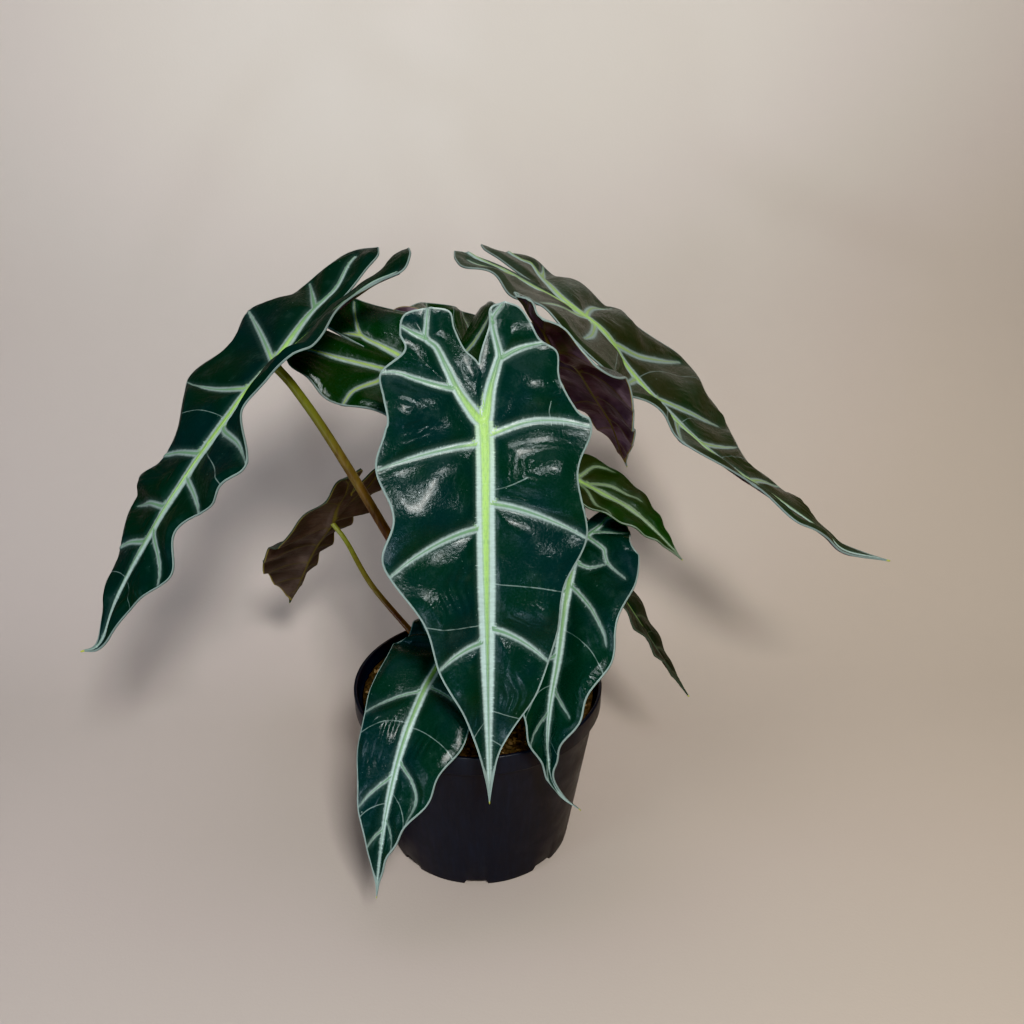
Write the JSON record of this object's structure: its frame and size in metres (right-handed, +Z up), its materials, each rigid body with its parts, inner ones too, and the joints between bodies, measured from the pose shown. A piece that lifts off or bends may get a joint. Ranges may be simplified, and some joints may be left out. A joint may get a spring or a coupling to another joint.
{
  "type": "potted alocasia polly",
  "caption": "Potted house plant with long dark arrow-shaped leaves, pale veins and waved edges, on slender stalks in a small round black plastic nursery pot.",
  "frame": {"origin": "centre of the pot's underside, on the surface it stands on", "axes": "+Z up along the pot's axis, +Y towards the back, away from the leaf that hangs in front of the pot, +X to the right"},
  "size_m": [0.3575, 0.2362, 0.2926],
  "materials": {
    "pot": "matte moulded black plastic",
    "soil": "rough potting mix of peat and bark chips",
    "blade": "glossy dark green top with pale mint veins, purple-brown underside",
    "young_blade": "glossy yellow-green top with pale veins",
    "dull_blade": "satin brown underside, dark top",
    "green_stalk": "satin yellow-green skin",
    "brown_stalk": "satin skin, olive above and mottled brown below"
  },
  "bodies": {
    "root": {"pot": "pot", "soil": "soil", "blade_left": "blade", "petiole_left": "brown_stalk", "blade_front": "blade", "petiole_front": "brown_stalk", "blade_right": "blade", "petiole_right": "brown_stalk", "blade_back_left": "blade", "petiole_back_left": "brown_stalk", "blade_back_right": "blade", "petiole_back_right": "brown_stalk", "blade_small_right": "young_blade", "petiole_small_right": "green_stalk", "blade_low_right": "blade", "petiole_low_right": "green_stalk", "blade_low_left": "blade", "petiole_low_left": "green_stalk", "blade_low_back": "dull_blade", "petiole_low_back": "brown_stalk", "blade_small_left": "dull_blade", "petiole_small_left": "green_stalk"}
  },
  "joints": []
}
